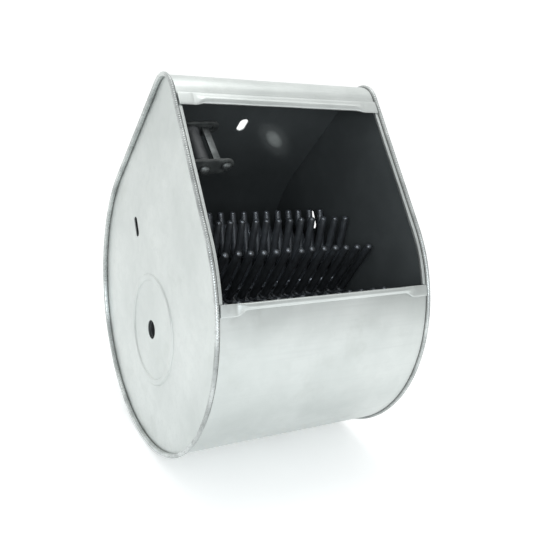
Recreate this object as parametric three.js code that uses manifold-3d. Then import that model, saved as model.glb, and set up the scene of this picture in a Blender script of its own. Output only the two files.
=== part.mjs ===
// Drum plucker hood: a teardrop sheet-metal housing with an open front slope, and inside it a rotor
// that carries rows of rubber fingers on a drum. Millimetres, +Z up, +X along the rotor's axis to the
// right, -Y out of the open front. The model is built about the centre of the housing's round belly,
// and the whole group is then moved so that its origin is the middle of the flat back slope.
import * as THREE from "three";
import { mergeVertices } from "three/addons/utils/BufferGeometryUtils.js";
import Module from "manifold-3d";

const wasm = await Module();
wasm.setup();

// ---------- driving dimensions ----------
const BELLY_R = 200; // outside of the round belly
const RIDGE_R = 32.8; // outside of the rounded ridge
const RIDGE_Z = 254.9; // ridge's centre above the belly's centre
const WIDTH = 300.5; // over both end rims
const SHEET = 1.2; // galvanised sheet
const LINER = 0.8; // black lining
const GAP = 0.3; // between pieces that touch
const RECESS = 6.3; // how far each end plate lies inside its rim
const RIM_OUT = 3; // rim's bead outside the belly
const RIM_IN = 2.6; // rim's wall inside the belly's outside
const RIM_CORNER = 1; // step that rounds the outer edge
const RIM_INNER_STEP = 0.8;
const RIM_NOSE = 1.5; // length of the stepped part, which overlaps the core

const TOP_LIP_DROP = 18; // opening's upper edge, down the front slope from where the ridge meets it
const BOTTOM_LIP_ANGLE = -71.6; // opening's lower edge, degrees from straight up, on the belly
const HEM_R = 3.6; // rolled edge
const HEM_TAB_LENGTH = 24; // its flattened end
const HEM_TAB_ABOVE = 10.4; // tab from the lip over its sheet
const TOP_TAB_BEYOND = 6.6; // tab from the lip into the opening
const BOTTOM_TAB_BEYOND = 3.6;
const HEM_TAB_THICKNESS = 1.6;
const STRIP_WIDTH = 4; // turned edge beside the opening

const AXLE_Z = -43; // rotor's axis below the belly's centre
const SHAFT_HOLE_R = 12.5;
const BOSS_R = 74; // pressed ring round the shaft hole
const BOSS_BAND = 8;
const BOSS_FLANK = 1.5; // how far its sloping sides reach
const BOSS_HEIGHT = 0.9;
const SLOT_CENTRE = [78, 76.3]; // y, z of the radial slot in each end plate
const SLOT_LENGTH = 28;
const SLOT_WIDTH = 11;
const HANG_HOLE_RISE = 22.7; // slot for hanging, from the back slope's middle towards the ridge
const HANG_HOLE_LENGTH = 24;
const HANG_HOLE_WIDTH = 12;
const LINING_HOLE_EXTRA = 2; // holes in the lining are wider than in the sheet
const BACK_HOLE_ANGLE = 95.2; // two smaller holes low in the back
const BACK_HOLE_X = 96;
const BACK_HOLE_R = 6;

const FINGER_ROWS = 14;
const FINGERS_PER_ROW = 15;
const FINGER_PITCH = 18.2;
const FINGER_TIP_R = 152.6; // from the rotor's axis
const FINGER_ROOT_WIDTH = 12.4;
const FINGER_TIP_WIDTH = 10;
const FINGER_TIP_ROUND = 3;
const FIRST_ROW_ANGLE = -6.5; // degrees from straight up at rest
const DRUM_R = 50;
const DRUM_WALL = 4;
const DRUM_LENGTH = 266;
const ROTOR_SHIFT = 4.6; // drum and fingers sit a little towards the right end plate
const STRIP_HEIGHT = 5; // moulded base of a finger row
const BASE_WIDTH = 14;
const DISC_X = 116; // rotor discs from the middle
const DISC_THICKNESS = 4;
const SHAFT_R = 10;
const SHAFT_CHAMFER = 1.5;
const SHAFT_RECESS = 5; // its left end inside the bush
const DRIVE_STUB = 22; // and its right end beyond the end plate
const BUSH_FLANGE_R = 32;
const BUSH_HEIGHT = 9;
const BUSH_FLANGE = 3;
const BUSH_WALL = 6; // round its bore
const BUSH_FLARE = 2;

const STEP = 6; // degrees per facet on the large arcs
const POST_REACH = 8; // cutting posts, on each side of the sheet

// ---------- derived places ----------
const SLOPE_ANGLE = THREE.MathUtils.radToDeg(Math.acos((BELLY_R - RIDGE_R) / RIDGE_Z));
const PLATE_OUT_X = WIDTH / 2 - RECESS;
const PLATE_IN_X = PLATE_OUT_X - SHEET;
const LINER_OUT_X = PLATE_IN_X - GAP;
const LINER_IN_X = LINER_OUT_X - LINER;
const SLOPE_DIR = direction(SLOPE_ANGLE);
const BACK_MIDDLE = backMiddle();

// y, z unit vector at an angle in degrees from straight up towards +Y.
function direction(degrees) {
  const a = THREE.MathUtils.degToRad(degrees);
  return new THREE.Vector2(Math.sin(a), Math.cos(a));
}

// Middle of the flat back slope's outside.
function backMiddle() {
  const middle = SLOPE_DIR.clone().multiplyScalar((BELLY_R + RIDGE_R) / 2);
  middle.y += RIDGE_Z / 2;
  return middle;
}

// Points of an arc in y, z between two angles in degrees from straight up.
function arc(radius, centreZ, from, to) {
  const steps = Math.max(1, Math.round(Math.abs(to - from) / STEP));
  return Array.from({ length: steps + 1 }, (_, i) => {
    const p = direction(from + ((to - from) * i) / steps).multiplyScalar(radius);
    p.y += centreZ;
    return p;
  });
}

// Whole teardrop outline, a distance off the housing's outside (negative is inwards).
function teardrop(offset) {
  const belly = arc(BELLY_R + offset, 0, SLOPE_ANGLE, 360 - SLOPE_ANGLE);
  const ridge = arc(RIDGE_R + offset, RIDGE_Z, -SLOPE_ANGLE, SLOPE_ANGLE);
  return [...belly, ...ridge];
}

// Point on the front slope, a distance down it from where the ridge meets it.
function onFrontSlope(offset, drop) {
  const p = new THREE.Vector2(-SLOPE_DIR.x, SLOPE_DIR.y).multiplyScalar(RIDGE_R + offset);
  return p.add(new THREE.Vector2(-SLOPE_DIR.y * drop, RIDGE_Z - SLOPE_DIR.x * drop));
}

// The same outline as an open path, from the opening's upper edge over the ridge, down the back and
// under the belly to the opening's lower edge. trim shortens both ends.
function wrapPath(offset, trim) {
  const end = BOTTOM_LIP_ANGLE + 360 - THREE.MathUtils.radToDeg(trim / BELLY_R);
  return [
    onFrontSlope(offset, TOP_LIP_DROP - trim),
    ...arc(RIDGE_R + offset, RIDGE_Z, -SLOPE_ANGLE, SLOPE_ANGLE),
    ...arc(BELLY_R + offset, 0, SLOPE_ANGLE, end),
  ];
}

// The stretch of outline across the opening, shortened at both ends.
function frontPath(offset, trim) {
  const end = BOTTOM_LIP_ANGLE + THREE.MathUtils.radToDeg(trim / BELLY_R);
  return [
    onFrontSlope(offset, TOP_LIP_DROP + trim),
    ...arc(BELLY_R + offset, 0, -SLOPE_ANGLE, end),
  ];
}

// ---------- geometry helpers ----------
const SIDEWAYS = new THREE.Matrix4().makeBasis(
  new THREE.Vector3(0, 1, 0),
  new THREE.Vector3(0, 0, 1),
  new THREE.Vector3(1, 0, 0),
);

// A y, z outline with holes, made solid from x0 to x1.
function slab(outline, holes, x0, x1) {
  const clockwise = THREE.ShapeUtils.isClockWise(outline);
  const shape = new THREE.Shape(clockwise ? [...outline].reverse() : outline);
  shape.holes = holes.map((points) => new THREE.Path(points));
  const geometry = new THREE.ExtrudeGeometry(shape, { depth: x1 - x0, bevelEnabled: false });
  return geometry.applyMatrix4(SIDEWAYS).translate(x0, 0, 0);
}

// A closed r, x profile turned about an axis along X through y, z.
function turned(profile, y, z, segments) {
  const points = profile.map(([r, x]) => new THREE.Vector2(r, x));
  const geometry = new THREE.LatheGeometry(points, segments);
  return geometry.rotateZ(-Math.PI / 2).translate(0, y, z);
}

// A tube or ring of rectangular section about an axis along X.
function ring(inner, outer, x0, x1, y, z, segments) {
  const profile = [
    [outer, x0],
    [outer, x1],
    [inner, x1],
    [inner, x0],
    [outer, x0],
  ];
  return turned(profile, y, z, segments);
}

function circlePoints(y, z, radius, count) {
  return Array.from({ length: count }, (_, i) =>
    direction((360 * (i + 0.5)) / count)
      .multiplyScalar(radius)
      .add(new THREE.Vector2(y, z)),
  );
}

// A round-ended slot centred on y, z whose length lies along an angle from straight up.
function slotPoints([y, z], length, width, degrees) {
  const r = width / 2;
  const along = direction(degrees).multiplyScalar(length / 2 - r);
  return [1, -1].flatMap((end) =>
    [-90, -54, -18, 18, 54, 90].map((a) =>
      direction(degrees + a + (end < 0 ? 180 : 0))
        .multiplyScalar(r)
        .add(along.clone().multiplyScalar(end))
        .add(new THREE.Vector2(y, z)),
    ),
  );
}

function toSolid(geometry) {
  const bare = geometry.clone();
  bare.deleteAttribute("normal");
  bare.deleteAttribute("uv");
  const merged = mergeVertices(bare, 1e-3);
  const made = new wasm.Manifold(
    new wasm.Mesh({
      numProp: 3,
      vertProperties: new Float32Array(merged.attributes.position.array),
      triVerts: new Uint32Array(merged.index.array),
    }),
  );
  if (made.volume() <= 0) throw new Error("a solid is inside out");
  return made;
}

function toGeometry(solid) {
  const mesh = solid.getMesh();
  const geometry = new THREE.BufferGeometry();
  const position = new THREE.BufferAttribute(new Float32Array(mesh.vertProperties), 3);
  geometry.setAttribute("position", position);
  geometry.setIndex(new THREE.BufferAttribute(new Uint32Array(mesh.triVerts), 1));
  return geometry;
}

function join(...geometries) {
  return toGeometry(geometries.map(toSolid).reduce((all, one) => all.add(one)));
}

function cut(geometry, ...tools) {
  return toGeometry(tools.map(toSolid).reduce((left, tool) => left.subtract(tool), toSolid(geometry)));
}

// Mirrors a closed solid in the plane x = 0.
function mirrored(geometry) {
  const index = mergeVertices(geometry.clone().deleteAttribute("normal"), 1e-4);
  const copy = index.clone().scale(-1, 1, 1);
  const faces = copy.index.array;
  for (let i = 0; i < faces.length; i += 3) [faces[i + 1], faces[i + 2]] = [faces[i + 2], faces[i + 1]];
  return copy;
}

// ---------- materials ----------
const galvanised = { color: 0xd3d8d6, roughness: 0.45, metalness: 0.75 };
const blackLining = { color: 0x14171a, roughness: 0.35, metalness: 0.1 };
const rubber = { color: 0x101113, roughness: 0.5, metalness: 0 };
const darkCasting = { color: 0x1d1f20, roughness: 0.55, metalness: 0.3 };
const steel = { color: 0xa9adac, roughness: 0.35, metalness: 0.9 };
const plastic = { color: 0x1b1c1e, roughness: 0.6, metalness: 0 };

const model = new THREE.Group();

function add(name, geometry, look) {
  const mesh = new THREE.Mesh(geometry, new THREE.MeshStandardMaterial(look));
  mesh.name = name;
  model.add(mesh);
}

// ---------- housing ----------
function endPlateHoles() {
  const slotAngle = THREE.MathUtils.radToDeg(Math.atan2(SLOT_CENTRE[0], SLOT_CENTRE[1] - AXLE_Z));
  return [
    circlePoints(0, AXLE_Z, SHAFT_HOLE_R, 20),
    slotPoints(SLOT_CENTRE, SLOT_LENGTH, SLOT_WIDTH, slotAngle),
  ];
}

// Right end plate: a teardrop of sheet with a pressed ring round the shaft hole.
function endPlate() {
  const sheet = slab(teardrop(-SHEET - GAP), endPlateHoles(), PLATE_IN_X, PLATE_OUT_X);
  const face = PLATE_OUT_X;
  const band = [
    [BOSS_R, face - SHEET / 2],
    [BOSS_R - BOSS_FLANK, face + BOSS_HEIGHT],
    [BOSS_R - BOSS_BAND + BOSS_FLANK, face + BOSS_HEIGHT],
    [BOSS_R - BOSS_BAND, face - SHEET / 2],
    [BOSS_R, face - SHEET / 2],
  ];
  return join(sheet, turned(band, 0, AXLE_Z, 40));
}

// Right rim: the rolled seam that joins end plate and wrap, standing proud of both.
function rim() {
  const edge = WIDTH / 2;
  const root = PLATE_OUT_X + GAP;
  const core = slab(teardrop(RIM_OUT), [teardrop(-RIM_IN)], root, edge - RIM_CORNER);
  const nose = slab(teardrop(RIM_OUT - RIM_CORNER), [teardrop(-RIM_IN + RIM_INNER_STEP)], edge - RIM_NOSE, edge);
  return join(core, nose);
}

function edgeStrip() {
  const x1 = PLATE_OUT_X;
  const path = (offset) => frontPath(offset, HEM_R + GAP);
  const outline = [...path(0), ...path(-SHEET).reverse()];
  return slab(outline, [], x1 - STRIP_WIDTH, x1);
}

// A band of sheet that follows the wrap's path between two offsets.
function wrapBand(outside, inside, halfWidth, trim) {
  const outline = [...wrapPath(outside, trim), ...wrapPath(inside, trim).reverse()];
  return slab(outline, [], -halfWidth, halfWidth);
}

// A round-ended post across the back sheet at y, z, whose length lies along the sheet.
function sheetPost(length, width, x, at, degrees) {
  const r = width / 2;
  const half = length / 2 - r;
  const shape = new THREE.Shape();
  shape.absarc(0, half, r, 0, Math.PI, false);
  shape.absarc(0, -half, r, Math.PI, 2 * Math.PI, false);
  const options = { depth: 2 * POST_REACH, bevelEnabled: false, curveSegments: 8 };
  const post = new THREE.ExtrudeGeometry(shape, options).translate(0, 0, -POST_REACH);
  return post.rotateX(-THREE.MathUtils.degToRad(degrees)).translate(x, at.x, at.y);
}

function backHolePosts(extra) {
  const along = new THREE.Vector2(-SLOPE_DIR.y, SLOPE_DIR.x).multiplyScalar(HANG_HOLE_RISE);
  const hang = BACK_MIDDLE.clone().add(along);
  const low = direction(BACK_HOLE_ANGLE).multiplyScalar(BELLY_R);
  const width = 2 * BACK_HOLE_R + extra;
  return [
    sheetPost(HANG_HOLE_LENGTH + extra, HANG_HOLE_WIDTH + extra, 0, hang, SLOPE_ANGLE),
    sheetPost(width, width, BACK_HOLE_X, low, BACK_HOLE_ANGLE),
    sheetPost(width, width, -BACK_HOLE_X, low, BACK_HOLE_ANGLE),
  ];
}

// A rolled edge along an opening lip: a bead between two flattened tabs that lie on the sheet.
// at is the lip, out its outward normal and onto the way to its sheet, all in y, z. beyond is how
// far the tabs reach past the lip into the opening.
function hem(at, out, onto, beyond) {
  const half = PLATE_OUT_X - GAP;
  const beadHalf = half - HEM_TAB_LENGTH + HEM_R;
  const centre = at.clone().addScaledVector(out, -SHEET / 2);
  const bead = slab(circlePoints(centre.x, centre.y, HEM_R, 10), [], -beadHalf, beadHalf);
  const low = at.clone().addScaledVector(out, 2 * GAP);
  const high = low.clone().addScaledVector(out, HEM_TAB_THICKNESS);
  const corners = [
    low.clone().addScaledVector(onto, -beyond),
    high.clone().addScaledVector(onto, -beyond),
    high.clone().addScaledVector(onto, HEM_TAB_ABOVE),
    low.clone().addScaledVector(onto, HEM_TAB_ABOVE),
  ];
  const tab = slab(corners, [], half - HEM_TAB_LENGTH, half);
  return join(bead, tab, mirrored(tab));
}

function topHem() {
  const out = new THREE.Vector2(-SLOPE_DIR.x, SLOPE_DIR.y);
  const up = new THREE.Vector2(SLOPE_DIR.y, SLOPE_DIR.x);
  return hem(onFrontSlope(0, TOP_LIP_DROP), out, up, TOP_TAB_BEYOND);
}

function bottomHem() {
  const out = direction(BOTTOM_LIP_ANGLE);
  const down = new THREE.Vector2(-out.y, out.x);
  return hem(out.clone().multiplyScalar(BELLY_R), out, down, BOTTOM_TAB_BEYOND);
}

function addHousing() {
  const trim = HEM_R + GAP;
  const wrap = wrapBand(0, -SHEET, PLATE_OUT_X, trim);
  add("body_wrap", cut(wrap, ...backHolePosts(0)), galvanised);
  const lining = wrapBand(-SHEET - GAP, -SHEET - GAP - LINER, LINER_IN_X - GAP, trim);
  add("wrap_lining", cut(lining, ...backHolePosts(LINING_HOLE_EXTRA)), blackLining);

  const plate = endPlate();
  add("right_end_plate", plate, galvanised);
  add("left_end_plate", mirrored(plate), galvanised);
  add("right_rim", rim(), galvanised);
  add("left_rim", mirrored(rim()), galvanised);
  add("right_edge_strip", edgeStrip(), galvanised);
  add("left_edge_strip", mirrored(edgeStrip()), galvanised);
  add("top_hem", topHem(), galvanised);
  add("bottom_hem", bottomHem(), galvanised);

  const sideLining = slab(teardrop(-SHEET - GAP), endPlateHoles(), LINER_IN_X, LINER_OUT_X);
  add("right_side_lining", sideLining, blackLining);
  add("left_side_lining", mirrored(sideLining), blackLining);
}

// ---------- bushes ----------
function bush() {
  const face = LINER_IN_X - GAP;
  const bore = SHAFT_R + GAP;
  const profile = [
    [BUSH_FLANGE_R, face],
    [bore, face],
    [bore, face - BUSH_HEIGHT],
    [bore + BUSH_WALL, face - BUSH_HEIGHT],
    [bore + BUSH_WALL + BUSH_FLARE, face - BUSH_FLANGE],
    [BUSH_FLANGE_R, face - BUSH_FLANGE],
    [BUSH_FLANGE_R, face],
  ];
  return turned(profile, 0, AXLE_Z, 20);
}

// ---------- rotor ----------
function finger(x) {
  const root = FINGER_ROOT_WIDTH / 2;
  const tip = FINGER_TIP_WIDTH / 2;
  const base = DRUM_R + GAP + STRIP_HEIGHT / 2;
  const profile = [
    [0, base],
    [root, base],
    [tip, FINGER_TIP_R - FINGER_TIP_ROUND],
    [0, FINGER_TIP_R],
  ];
  const points = profile.map(([r, z]) => new THREE.Vector2(r, z));
  return new THREE.LatheGeometry(points, 6).rotateX(Math.PI / 2).translate(x, 0, 0);
}

// One row: a moulded base strip with its fingers, standing straight up from the rotor's axis.
function fingerRow() {
  const strip = new THREE.BoxGeometry(DRUM_LENGTH, BASE_WIDTH, STRIP_HEIGHT);
  strip.translate(ROTOR_SHIFT, 0, DRUM_R + GAP + STRIP_HEIGHT / 2);
  const middle = (FINGERS_PER_ROW - 1) / 2;
  const fingers = Array.from({ length: FINGERS_PER_ROW }, (_, i) =>
    finger(ROTOR_SHIFT + (i - middle) * FINGER_PITCH),
  );
  return join(strip, ...fingers);
}

// The shaft ends inside the left bush and stands out of the right end plate, for the drive.
function shaft() {
  const left = SHAFT_RECESS + GAP - LINER_IN_X;
  const right = PLATE_OUT_X + DRIVE_STUB;
  const profile = [
    [0, left],
    [SHAFT_R - SHAFT_CHAMFER, left],
    [SHAFT_R, left + SHAFT_CHAMFER],
    [SHAFT_R, right - SHAFT_CHAMFER],
    [SHAFT_R - SHAFT_CHAMFER, right],
    [0, right],
  ];
  return turned(profile, 0, AXLE_Z, 16);
}

function addRotor() {
  const left = ROTOR_SHIFT - DRUM_LENGTH / 2;
  const drum = ring(DRUM_R - DRUM_WALL, DRUM_R, left, left + DRUM_LENGTH, 0, AXLE_Z, 45);
  add("rotor_drum", drum, darkCasting);
  add("rotor_shaft", shaft(), darkCasting);
  const discEdge = DRUM_R - DRUM_WALL - GAP;
  const disc = ring(SHAFT_R + GAP, discEdge, DISC_X, DISC_X + DISC_THICKNESS, 0, AXLE_Z, 30);
  add("right_rotor_disc", disc, darkCasting);
  add("left_rotor_disc", mirrored(disc), darkCasting);

  const row = fingerRow();
  for (let i = 0; i < FINGER_ROWS; i++) {
    const turn = THREE.MathUtils.degToRad(FIRST_ROW_ANGLE + (360 / FINGER_ROWS) * i);
    const placed = row.clone().rotateX(-turn).translate(0, 0, AXLE_Z);
    add("finger_row_" + String(i + 1).padStart(2, "0"), placed, rubber);
  }
}

// ---------- spool bracket inside the left end ----------
// Its own frame: local Z runs along the spool, local X into the housing, local Y towards the front.
const BRACKET_AT = [-57.6, 215.2];
const SPOOL_DIR = [-0.806, -0.592];
const BASE_BACK = -22; // base plate against the end plate's lining
const BASE_FRONT = 5;
const BASE_THICKNESS = 4;
const LUG_GAP = 56; // between the two lugs
const LUG_THICKNESS = 4;
const LUG_REACH = 54; // from the end plate's lining
const LUG_END_R = 9;
const LUG_END_Y = -1; // middle of a lug's round end
const LUG_NECK = 4; // how much the back edge steps before the round end
const SPOOL_R = 11;
const SPOOL_X = 18;
const SPOOL_Y = -8;
const PIN_R = 3.5;
const PIN_FOOT = 2; // pin beyond the upper lug
const TIE_X = 35;
const TIE_WIDTH = 9;
const TIE_THICKNESS = 3;
const BOLT_X = 44;
const BOLT_R = 3;

function bracketFrame() {
  const along = new THREE.Vector3(0, SPOOL_DIR[0], SPOOL_DIR[1]).normalize();
  const inward = new THREE.Vector3(1, 0, 0);
  const front = new THREE.Vector3().crossVectors(along, inward);
  const frame = new THREE.Matrix4().makeBasis(inward, front, along);
  return frame.setPosition(GAP - LINER_IN_X, BRACKET_AT[0], BRACKET_AT[1]);
}

function box(x0, x1, y0, y1, z0, z1) {
  const geometry = new THREE.BoxGeometry(x1 - x0, y1 - y0, z1 - z0);
  return geometry.translate((x0 + x1) / 2, (y0 + y1) / 2, (z0 + z1) / 2);
}

// A lug's plate: square at the wall and round at its free end.
function lug(z0) {
  const shape = new THREE.Shape();
  const endX = LUG_REACH - LUG_END_R;
  shape.moveTo(0, BASE_BACK);
  shape.lineTo(endX, LUG_END_Y - LUG_END_R - LUG_NECK);
  shape.absarc(endX, LUG_END_Y, LUG_END_R, -Math.PI / 2, Math.PI / 2, false);
  shape.lineTo(0, BASE_FRONT);
  shape.closePath();
  const options = { depth: LUG_THICKNESS, bevelEnabled: false, curveSegments: 8 };
  return new THREE.ExtrudeGeometry(shape, options).translate(0, 0, z0);
}

function rod(radius, z0, z1, x, y) {
  const geometry = new THREE.CylinderGeometry(radius, radius, z1 - z0, 10);
  return geometry.rotateX(Math.PI / 2).translate(x, y, (z0 + z1) / 2);
}

// A bolt: a shank with a low domed head beyond z1.
function bolt(radius, z0, z1, x, y) {
  const points = [
    [0, z0],
    [radius, z0],
    [radius, z1],
    [radius * 2, z1],
    [radius * 1.7, z1 + radius],
    [0, z1 + radius * 1.5],
  ].map(([r, z]) => new THREE.Vector2(r, z));
  return new THREE.LatheGeometry(points, 10).rotateX(Math.PI / 2).translate(x, y, 0);
}

// The spool's sleeve about its own axis.
function sleeve(half) {
  const bore = PIN_R + GAP;
  const points = [
    [SPOOL_R, -half],
    [SPOOL_R, half],
    [bore, half],
    [bore, -half],
    [SPOOL_R, -half],
  ].map(([r, z]) => new THREE.Vector2(r, z));
  return new THREE.LatheGeometry(points, 16).rotateX(Math.PI / 2);
}

function addBracket() {
  const half = LUG_GAP / 2;
  const outer = half + LUG_THICKNESS;
  const frame = bracketFrame();
  const place = (geometry) => geometry.applyMatrix4(frame);
  const base = box(0, BASE_THICKNESS, BASE_BACK, BASE_FRONT, -outer, outer);
  const bore = (x, y, r) => rod(r + GAP, -outer - 1, outer + 1, x, y);
  const bores = [bore(SPOOL_X, SPOOL_Y, PIN_R), bore(BOLT_X, LUG_END_Y, BOLT_R)];
  add("bracket_yoke", place(cut(join(base, lug(-outer), lug(half)), ...bores)), darkCasting);
  add("spool", place(sleeve(half - GAP).translate(SPOOL_X, SPOOL_Y, 0)), plastic);
  add("spool_pin", place(bolt(PIN_R, -outer - PIN_FOOT, outer + GAP, SPOOL_X, SPOOL_Y)), steel);
  const x0 = TIE_X - TIE_WIDTH / 2;
  const y0 = LUG_END_Y - TIE_THICKNESS / 2;
  const tie = box(x0, x0 + TIE_WIDTH, y0, y0 + TIE_THICKNESS, GAP - half, half - GAP);
  add("tie_bar", place(tie), steel);
  add("lug_bolt", place(bolt(BOLT_R, half - BOLT_R, outer + GAP, BOLT_X, LUG_END_Y)), steel);
}

addHousing();
const rightBush = bush();
add("right_bush", rightBush, plastic);
add("left_bush", mirrored(rightBush), plastic);
addRotor();
addBracket();

model.position.set(0, -BACK_MIDDLE.x, -BACK_MIDDLE.y);
const feature = new THREE.Group();
feature.add(model);
export default feature;
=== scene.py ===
"""Drum plucker hood: teardrop galvanised housing with a black lining and a rotor of rubber fingers.

Metres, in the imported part's own frame: +Z up, +X along the rotor's shaft, -Y out of the open front.
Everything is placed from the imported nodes; lengths along the housing's outline are measured from the
back tangent point, down the back, under the belly, up the front slope and over the ridge.
"""

import math
import random

import bmesh
import bpy
from mathutils import Matrix, Vector, noise


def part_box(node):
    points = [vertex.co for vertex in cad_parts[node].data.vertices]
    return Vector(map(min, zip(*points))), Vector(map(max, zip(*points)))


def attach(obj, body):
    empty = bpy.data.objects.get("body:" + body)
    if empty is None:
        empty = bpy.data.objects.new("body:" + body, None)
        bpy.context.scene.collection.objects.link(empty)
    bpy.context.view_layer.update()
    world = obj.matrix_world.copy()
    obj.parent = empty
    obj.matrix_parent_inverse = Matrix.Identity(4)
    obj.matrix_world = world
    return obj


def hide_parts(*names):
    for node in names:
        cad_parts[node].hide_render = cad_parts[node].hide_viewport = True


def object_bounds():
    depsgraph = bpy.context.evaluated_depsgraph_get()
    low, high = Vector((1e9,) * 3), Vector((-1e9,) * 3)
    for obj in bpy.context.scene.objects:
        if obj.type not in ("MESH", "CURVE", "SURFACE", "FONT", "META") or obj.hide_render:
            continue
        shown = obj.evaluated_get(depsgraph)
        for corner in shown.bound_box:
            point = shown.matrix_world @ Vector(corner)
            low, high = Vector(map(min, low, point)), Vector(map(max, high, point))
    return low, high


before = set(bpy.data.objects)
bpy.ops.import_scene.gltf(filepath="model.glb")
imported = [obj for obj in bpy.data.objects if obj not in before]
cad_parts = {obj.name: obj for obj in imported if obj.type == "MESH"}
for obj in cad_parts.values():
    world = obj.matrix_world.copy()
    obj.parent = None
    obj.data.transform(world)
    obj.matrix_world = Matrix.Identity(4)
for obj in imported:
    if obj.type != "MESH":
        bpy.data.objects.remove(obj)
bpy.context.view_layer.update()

# ---------- sizes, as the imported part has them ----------
MM = 0.001
BELLY_R = 200 * MM
RIDGE_R = 32.8 * MM
RIDGE_Z = 254.9 * MM
AXLE_DROP = 43 * MM
SHEET = 1.2 * MM
LINING = 0.8 * MM
GAP = 0.3 * MM
TOP_LIP_DROP = 18 * MM  # opening's upper edge below the ridge's tangent point
BOTTOM_LIP_ANGLE = math.radians(71.6)
BOSS_R = 74 * MM
BOSS_BAND = 8 * MM
SHAFT_HOLE_R = 12.5 * MM
SLOT_AT = Vector((78 * MM, 76.3 * MM))
SLOT_LENGTH = 28 * MM
SLOT_WIDTH = 11 * MM
HANG_HOLE_RISE = 22.7 * MM
BACK_HOLE_ANGLE = math.radians(95.2)
BACK_HOLE_X = 96 * MM
BACK_HOLE_WIDTH = 12 * MM
HANG_HOLE_LENGTH = 24 * MM
FINGER_PITCH = 18.2 * MM
FINGERS_PER_ROW = 15
FINGER_ROWS = 14
FIRST_ROW_ANGLE = math.radians(-6.5)
FINGER_TIP = 152.6 * MM
SLOPE = math.acos((BELLY_R - RIDGE_R) / RIDGE_Z)

drum_low, drum_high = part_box("rotor_drum")
AXLE = Vector(((drum_low.y + drum_high.y) / 2, (drum_low.z + drum_high.z) / 2))
BELLY = Vector((AXLE.x, AXLE.y + AXLE_DROP))
EDGE_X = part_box("left_rim")[0].x * -1
WRAP_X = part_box("body_wrap")[1].x
LINING_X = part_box("right_side_lining")[0].x
DRUM_R = (drum_high.y - drum_low.y) / 2
DRUM_MIDDLE = (drum_low.x + drum_high.x) / 2
DRUM_HALF = (drum_high.x - drum_low.x) / 2

BELLY_ARC = BELLY_R * (2 * math.pi - 2 * SLOPE)
SLOPE_RUN = RIDGE_Z * math.sin(SLOPE)
RIDGE_ARC = RIDGE_R * 2 * SLOPE
OUTLINE = BELLY_ARC + 2 * SLOPE_RUN + RIDGE_ARC
LIP_BOTTOM = BELLY_R * (2 * math.pi - BOTTOM_LIP_ANGLE - SLOPE)
LIP_TOP = BELLY_ARC + SLOPE_RUN - TOP_LIP_DROP


# ---------- the teardrop outline ----------
def heading(angle):
    """y, z unit vector at an angle from straight up towards +Y."""
    return Vector((math.sin(angle), math.cos(angle)))


def outline_at(s):
    """Point and outward normal in y, z, a distance s along the housing's outside."""
    s %= OUTLINE
    if s < BELLY_ARC:
        n = heading(SLOPE + s / BELLY_R)
        return BELLY + n * BELLY_R, n
    s -= BELLY_ARC
    if s < SLOPE_RUN:
        n = heading(-SLOPE)
        along = Vector((n.y, -n.x))
        return BELLY + n * BELLY_R + along * s, n
    s -= SLOPE_RUN
    ridge = BELLY + Vector((0, RIDGE_Z))
    if s < RIDGE_ARC:
        n = heading(-SLOPE + s / RIDGE_R)
        return ridge + n * RIDGE_R, n
    s -= RIDGE_ARC
    n = heading(SLOPE)
    along = Vector((n.y, -n.x))
    return ridge + n * RIDGE_R + along * s, n


def lifted(s, x, offset):
    """3-D point at s along the outline, an offset outside it, at width x."""
    p, n = outline_at(s)
    q = p + n * offset
    return Vector((x, q.x, q.y))


def spread(start, end, spacing):
    """Evenly spaced values from start to end, no further apart than spacing."""
    count = max(2, math.ceil((end - start) / spacing))
    return [start + (end - start) * i / count for i in range(count + 1)]


# ---------- mesh helpers ----------
SHARP = math.radians(32)


def make_object(name, verts, faces):
    mesh = bpy.data.meshes.new(name)
    mesh.from_pydata([tuple(v) for v in verts], [], faces)
    obj = bpy.data.objects.new(name, mesh)
    bpy.context.scene.collection.objects.link(obj)
    tidy_mesh(obj)
    return obj


def tidy_mesh(obj, sharp=SHARP):
    """Outward normals, smooth faces and sharp marks on real corners."""
    bm = bmesh.new()
    bm.from_mesh(obj.data)
    bmesh.ops.recalc_face_normals(bm, faces=bm.faces)
    for face in bm.faces:
        face.smooth = True
    for edge in bm.edges:
        edge.smooth = len(edge.link_faces) != 2 or edge.calc_face_angle(0) < sharp
    bm.to_mesh(obj.data)
    bm.free()


def quads(rows, columns, loop_rows=False, loop_columns=False):
    faces = []
    for i in range(rows if loop_rows else rows - 1):
        for j in range(columns if loop_columns else columns - 1):
            i2, j2 = (i + 1) % rows, (j + 1) % columns
            faces.append((i * columns + j, i * columns + j2, i2 * columns + j2, i2 * columns + j))
    return faces


def swept(name, sections, loop):
    """A skin over closed sections with equal point counts; its ends are capped unless it loops."""
    columns = len(sections[0])
    verts = [p for section in sections for p in section]
    faces = quads(len(sections), columns, loop, True)
    if not loop:
        faces.append(tuple(range(columns)))
        faces.append(tuple(reversed(range(len(verts) - columns, len(verts)))))
    return make_object(name, verts, faces)


def lathe_points(profile, segments):
    """Rings of an r, h profile turned about local Z; r of 0 gives a pole."""
    verts, rings = [], []
    for r, h in profile:
        if r < 1e-7:
            rings.append([len(verts)])
            verts.append(Vector((0, 0, h)))
            continue
        rings.append(list(range(len(verts), len(verts) + segments)))
        for k in range(segments):
            a = 2 * math.pi * k / segments
            verts.append(Vector((r * math.cos(a), r * math.sin(a), h)))
    return verts, rings


def ring_faces(a, b):
    if len(a) == 1 and len(b) == 1:
        return []
    n = max(len(a), len(b))
    faces = []
    for k in range(n):
        k2 = (k + 1) % n
        if len(a) == 1:
            faces.append((a[0], b[k], b[k2]))
        elif len(b) == 1:
            faces.append((a[k], b[0], a[k2]))
        else:
            faces.append((a[k], b[k], b[k2], a[k2]))
    return faces


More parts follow.
